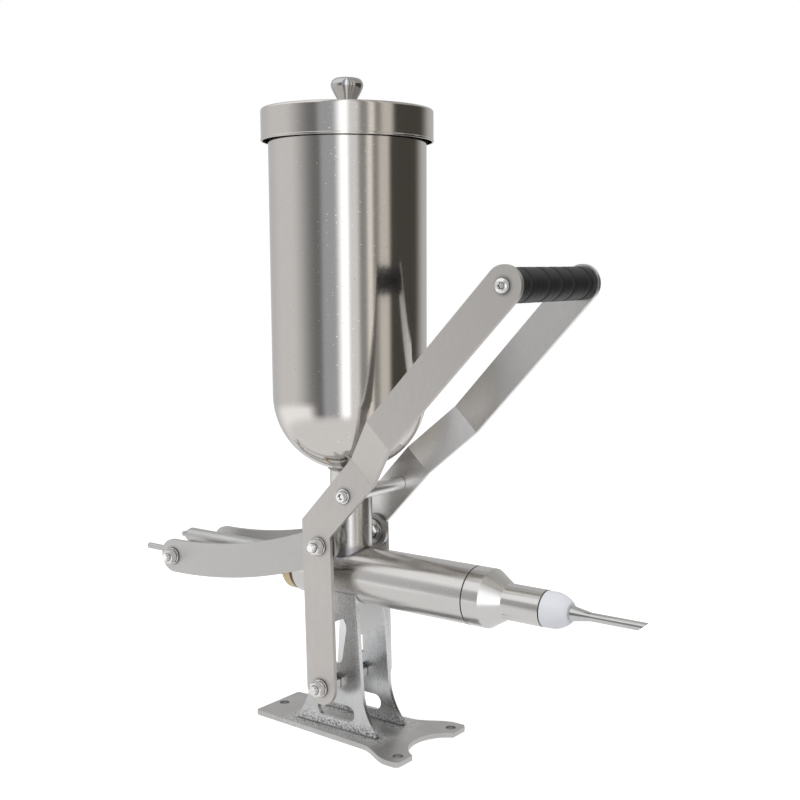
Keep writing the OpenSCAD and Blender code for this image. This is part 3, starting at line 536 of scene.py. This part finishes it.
# Lever axle
fasteners("axle_nuts", "frame", (each_side(AXLE, 44.9), nut(NUT_H, 0.35)))
fasteners("axle_locknuts", "frame",
          (each_side(AXLE, 22.05), nut(LOCKNUT_H, TAU / 12)),
          (each_side(AXLE, 9.95), nut(LOCKNUT_H, TAU / 12)))
fasteners("lever_axle", "frame",
          ([on_y(*AXLE, -55.9)],
           threaded(PIN_R, 111.8, [(0, 16), (20, 36), (75.8, 91.8), (95.8, 111.8)]), PIN))
fasteners("axle_washers", "frame", (each_side(AXLE, 43.3), washer(8), RING))

# Cross shaft
fasteners("shaft_nuts", "piston", (each_side(SHAFT, 40.4), nut(NUT_H, 0.12)))
fasteners("shaft_inner_nuts", "piston", (each_side(SHAFT, 26.1), nut(NUT_H, 0.5)))
fasteners("cross_shaft", "piston",
          ([on_y(*SHAFT, -51.4)], threaded(PIN_R, 102.8, [(0, 26), (76.8, 102.8)]), PIN))
fasteners("shaft_washers", "piston", (each_side(SHAFT, 38.8), washer(8), RING))
fasteners("shaft_inner_washers", "piston", (each_side(SHAFT, 32.6), washer(8), RING))

# Link bolts
fasteners("link_nuts", "lever", (each_side(CRANK, 44.6), nut(NUT_H, 0.2)))
fasteners("link_bolts", "lever",
          (each_side(CRANK, 32.6), threaded(PIN_R, 23.0, [(11, 23.0)]), PIN),
          (each_side(CRANK, 27.3), bolt_head(5.3)))
fasteners("link_washers", "lever", (each_side(CRANK, 43.0), washer(8), RING))
fasteners("link_wide_washers", "lever", (each_side(CRANK, 32.6), washer(12, 0.4), RING))

# Screws of the tie and of the grip
fasteners("tie_screws", "lever",
          (each_side(TIE, 44.6), cap(5, 4)),
          (each_side(TIE, 21.0), threaded(2.97, 23.7, [(0, 18)], pitch=1.0, depth=0.5), THIN_PIN))
fasteners("grip_screws", "lever",
          (each_side(GRIP, 64.3), cap(6, 3.2, soft=1.0, dome=0.8)),
          (each_side(GRIP, 42.3), threaded(3.97, 22.1, [(0, 17)]), THIN_PIN))

# Grip: soft segments parted by narrow rounded grooves, the far one a little fuller (mm)
GROOVES = (-44.5, -17.5, 2.5, 22.5, 49.5)
GROOVE_HALF, GROOVE_DEEP = 1.5, 1.5
SHOULDER_END, SHOULDER_DEEP = 4.0, 0.25
GRIP_R, FULLER_R, FULLER_FROM = 14.1, 14.25, 51.0
GRIP_BORE, GRIP_END, ROUNDING_FROM, STEP = 9.05, 59.65, 58.0, 0.25


def groove(d):
    """Depth of a groove and of its soft shoulder at a distance d from its middle."""
    if d < GROOVE_HALF:
        return GROOVE_DEEP * (1 - d / GROOVE_HALF) ** 0.6
    if d < SHOULDER_END:
        return SHOULDER_DEEP * (1 - (d - GROOVE_HALF) / (SHOULDER_END - GROOVE_HALF)) ** 2
    return 0.0


def grip_profile():
    rows = [(GRIP_BORE, -GRIP_END), (12.6, -GRIP_END), (13.6, -59.3), (14.0, -58.4)]
    for k in range(round(2 * ROUNDING_FROM / STEP) + 1):
        y = -ROUNDING_FROM + STEP * k
        r = FULLER_R if y > FULLER_FROM else GRIP_R + 0.036 * math.sin(y * 0.9)
        rows.append((r - sum(groove(abs(y - g)) for g in GROOVES), y))
    return rows + [(14.1, 58.6), (13.6, 59.3), (12.6, GRIP_END), (GRIP_BORE, GRIP_END)]


bm = bmesh.new()
turned(bm, on_y(*GRIP, 0.0), grip_profile(), segs=96, closed=True)
finish(bm, "grip_sleeve", rubber, "lever", angle=50)

# Lid with a rolled top edge and a folded lower rim (mm, heights from its top)
LID_Z, SCREW_HOLE, LID_R = 569.4, 3.03, 76.15
rows = [(SCREW_HOLE, 0.0), (SCREW_HOLE, -1.5), (74.5, -1.5), (74.9, -1.9), (74.9, -27.6), (75.4, -27.6)]
rows += [(76.1 + 0.3 * math.cos(a), -27.3 + 0.3 * math.sin(a)) for a in (-1.5, -1.0, -0.5, 0)]
rows += [(76.4, -26.0), (LID_R, -25.6), (LID_R, -25.3), (LID_R, -3.2)]
rows += [(74.15 + 2.0 * math.cos(a * math.pi / 16), -2.3 + 2.3 * math.sin(a * math.pi / 16))
         for a in range(9)]
rows += [(66.0, 0.0), (40.0, 0.0), (14.0, 0.0)]
bm = bmesh.new()
turned(bm, on_z(LID_Z), rows, segs=192, closed=True)
finish(bm, "lid", lid_steel, "lid")

# Knob, turned to a waisted foot and a crowned head: share of its height, and radius (mm)
KNOB_H = 27.5
KNOB = [(0.0, 7.9), (0.1, 7.7), (0.2, 7.8), (0.335, 8.7), (0.52, 11.8), (0.66, 13.7), (0.74, 14.3),
        (0.80, 14.35), (0.87, 13.8), (0.93, 12.7), (0.97, 11.2), (0.99, 9.4), (1.0, 7.0), (1.0, 3.0)]
foot = [(SCREW_HOLE, 0.0), (7.4, 0.0), (7.9, 0.25)]
rows = foot + [(r0 + (r1 - r0) * s, KNOB_H * (z0 + (z1 - z0) * s))
               for (z0, r0), (z1, r1) in zip(KNOB, KNOB[1:]) for s in (0.25, 0.5, 0.75, 1.0)]
rows.append((0, KNOB_H))
for _ in range(2):
    eased = [((a[0] + 2 * b[0] + c[0]) / 4, (a[1] + 2 * b[1] + c[1]) / 4)
             for a, b, c in zip(rows[2:], rows[3:], rows[4:])]
    rows = foot + eased + rows[-1:]
bm = bmesh.new()
turned(bm, on_z(LID_Z), [(0, 11.0), (SCREW_HOLE, 11.0)] + rows, segs=96)
finish(bm, "lid_knob", knob_steel, "lid", angle=60)


# Seams along the cheeks' feet

def bead(bm, points, r, sides=8):
    """Thin bead along a line of points (mm), its thickness a little uneven."""
    rings = []
    for i, p in enumerate(points):
        ahead = Vector(points[min(i + 1, len(points) - 1)]) - Vector(points[max(i - 1, 0)])
        ahead.normalize()
        side = ahead.cross(Vector((0, 0, 1))).normalized()
        up = side.cross(ahead)
        fat = r * (1 + 0.22 * math.sin(2.1 * i) + 0.15 * math.sin(0.77 * i + 1))
        rings.append([bm.verts.new((Vector(p) + fat * (math.cos(a) * side + math.sin(a) * up)) * MM)
                      for a in (TAU * k / sides for k in range(sides))])
    for a, b in zip(rings, rings[1:]):
        for k in range(sides):
            bm.faces.new((a[k], a[(k + 1) % sides], b[(k + 1) % sides], b[k]))
    bm.faces.new(rings[0])
    bm.faces.new(rings[-1])


bm = bmesh.new()
for way in (1, -1):
    for face in (22.0, 18.0):
        bead(bm, [(-50.0 + k, way * face, 5.1) for k in range(95)], 0.55)
finish(bm, "foot_welds", weld_steel, "frame", angle=80)


# Floor: pale paper that stays white to the camera and to the metal

def staged(name, verts, faces, mat):
    mesh = bpy.data.meshes.new(name)
    mesh.from_pydata(verts, [], faces)
    mesh.materials.append(mat)
    obj = bpy.data.objects.new(name, mesh)
    bpy.context.scene.collection.objects.link(obj)
    return obj


def circle(r, z, count):
    return [(r * math.cos(TAU * k / count), r * math.sin(TAU * k / count), z) for k in range(count)]


def bare(owner):
    """Node tree of its own, with nothing in it yet."""
    t = Tree(owner)
    t.nodes.clear()
    return t


FLOOR_R, FLOOR_SIDES, FLOOR_GLOW = 70, 64, 0.56
floor_mat = bpy.data.materials.new("floor_paper")
t = bare(floor_mat)
fine = t.new("ShaderNodeTexNoise", Scale=60.0, Detail=3.0)
paper = t.new("ShaderNodeBsdfDiffuse")
t.link(t.mix(fine.outputs["Fac"], grey(0.80), grey(0.82)), paper.inputs["Color"])
glow = t.new("ShaderNodeEmission", Color=(1, 1, 1, 1))
t.link(t.math("MULTIPLY", t.shown_rays(), FLOOR_GLOW), glow.inputs["Strength"])
both_on = t.new("ShaderNodeAddShader")
t.link(paper.outputs[0], both_on.inputs[0])
t.link(glow.outputs[0], both_on.inputs[1])
t.link(both_on.outputs[0], t.new("ShaderNodeOutputMaterial").inputs["Surface"])
floor_mat.cycles.emission_sampling = "NONE"
staged("floor", circle(FLOOR_R, 0, FLOOR_SIDES), [tuple(range(FLOOR_SIDES))], floor_mat)

# What the metal mirrors: a round studio with light panels and dark gaps, seen in reflections only. Each panel
# has a start and a stop (degrees round the object from the camera's side), a brightness and a warmth.
AROUND = (
    (-180, -150, .60, 0),  # back sheet
    (-108, -90, .76, 0),  # left sheet
    (-45, -43, .20, 0),  # left flag
    (-34, -20, .46, -.6),  # cool card
    (-6, -3, 1.8, -.3),  # strip lamp
    (3, 11, .87, 0),  # card beside the lamp
    (18, 23, .31, .6),  # narrow flag
    (30, 32, .95, 1),  # warm strip
    (37, 40, .30, 1),  # gap
    (48, 56, .67, 1),  # warm card
    (65, 108, .07, 1.8),  # wide flag
    (140, 155, .55, .2),  # right sheet
)
# Above head height: two large sheets in place of the left sheet, the left flag and the wide flag
HIGH = tuple(p for p in AROUND if p[0] < -140 or -40 < p[0] < 60 or p[0] > 135)
HIGH += ((-118, -38, 1.08, 0), (65, 128, .47, .3))
# On the ground: other sheets at the back and the sides far out, and plain paper close by
GROUND = tuple(p for p in AROUND if -60 < p[0] < 100)
GROUND += ((-180, -160, .60, 0), (-112, -68, 1.15, 0), (118, 150, .95, 0))
PAPER = ((-180, 0, .84, 0),)
CAMERA_SIDE = -50.54  # angle round the object at which the camera stands
RED_PER_WARMTH, BLUE_PER_WARMTH = 0.045, 0.075


def ramp_of(t, turn, rows):
    """Colour ramp round the full turn, level across each panel and eased between them."""
    ramp = t.new("ShaderNodeValToRGB")
    ramp.color_ramp.interpolation = "EASE"
    els = ramp.color_ramp.elements
    els.remove(els[1])
    els[0].position = 0.0
    rows = sorted(rows)
    points = [(edge, v, warm) for start, stop, v, warm in rows for edge in (start, stop)]
    for i, (deg, v, warm) in enumerate(points + [(180, rows[0][2], 0)]):
        e = els[0] if i == 0 else els.new(deg / 360 + 0.5)
        e.color = (v * (1 + RED_PER_WARMTH * warm), v, v * (1 - BLUE_PER_WARMTH * warm), 1)
    t.link(turn, ramp.inputs[0])
    return ramp.outputs[0]


def surround(name, rows, other, first, last, radial=False):
    """Panels in rows, which give way to other between first and last (height, or distance out)."""
    mat = bpy.data.materials.new(name)
    t = bare(mat)
    place = t.new("ShaderNodeSeparateXYZ")
    t.link(t.new("ShaderNodeTexCoord").outputs["Object"], place.inputs[0])
    x, y, z = place.outputs
    turn = t.math("ADD", t.math("DIVIDE", t.math("ARCTAN2", y, x), TAU), 0.5)
    share = t.new("ShaderNodeMapRange", interpolation_type="SMOOTHSTEP")
    t.link(t.length(x, y) if radial else z, share.inputs["Value"])
    share.inputs["From Min"].default_value = first
    share.inputs["From Max"].default_value = last
    glow = t.new("ShaderNodeEmission")
    t.link(t.mix(share.outputs[0], ramp_of(t, turn, rows), ramp_of(t, turn, other)), glow.inputs["Color"])
    t.link(glow.outputs[0], t.new("ShaderNodeOutputMaterial").inputs["Surface"])
    mat.cycles.emission_sampling = "NONE"
    return mat


def tier(name, inner, outer, *panels):
    """One stretch of the studio between two circles, each (radius, height), with surround's panels."""
    count = 96
    faces = [(k, (k + 1) % count, count + (k + 1) % count, count + k) for k in range(count)]
    obj = staged(name, circle(*inner, count) + circle(*outer, count), faces, surround(name, *panels))
    obj.rotation_euler = (0, 0, math.radians(CAMERA_SIDE))
    obj.visible_camera = False
    obj.visible_diffuse = False
    obj.visible_shadow = False
    obj.visible_volume_scatter = False


WALL_R, WALL_H, APRON_R, GROUND_Z = 2.0, 3.0, 1.0, 0.0005
HEAD = (1.05, 1.30)  # heights between which the panels change to the high ones
CLOSE_BY = (0.80, 0.45)  # distances out between which they change to plain paper
TO_WALL = (APRON_R, 1.95)  # and those between which they change to the wall's
tier("studio_wall", (WALL_R, 0.0), (WALL_R, WALL_H), AROUND, HIGH, *HEAD)
tier("studio_roof", (0.02, WALL_H), (WALL_R, WALL_H), AROUND, HIGH, *HEAD)
tier("studio_apron", (0.001, GROUND_Z), (APRON_R, GROUND_Z), GROUND, PAPER, *CLOSE_BY, True)
tier("studio_rim", (APRON_R, GROUND_Z), (WALL_R, GROUND_Z), GROUND, AROUND, *TO_WALL, True)

# World: white where it shows, a plain soft light elsewhere
SKY = 0.55
world = bpy.data.worlds.new("studio")
bpy.context.scene.world = world
t = bare(world)
sky = t.new("ShaderNodeBackground", Color=(1, 1, 1, 1))
t.link(t.math("ADD", t.math("MULTIPLY", t.shown_rays(), 1 - SKY), SKY), sky.inputs["Strength"])
t.link(sky.outputs[0], t.new("ShaderNodeOutputWorld").inputs["Surface"])


def area(name, where, target_z, width, height, power):
    """Soft lamp that faces a point on the hopper's axis and shows in no reflection."""
    d = bpy.data.lights.new(name, "AREA")
    d.energy = power
    d.shape = "RECTANGLE"
    d.size = width
    d.size_y = height
    o = bpy.data.objects.new(name, d)
    bpy.context.scene.collection.objects.link(o)
    o.location = where
    o.rotation_euler = (Vector((0, 0, target_z)) - Vector(where)).to_track_quat("-Z", "Y").to_euler()
    o.visible_glossy = False


area("top_soft", (0.2, -0.3, 2.4), 0.2, width=2.0, height=2.0, power=18)
area("left_soft", (-1.5, -1.7, 1.4), 0.3, width=1.3, height=1.6, power=14)
area("right_soft", (1.9, -0.9, 1.3), 0.3, width=1.0, height=1.4, power=6)

bpy.context.scene.view_settings.view_transform = "Standard"
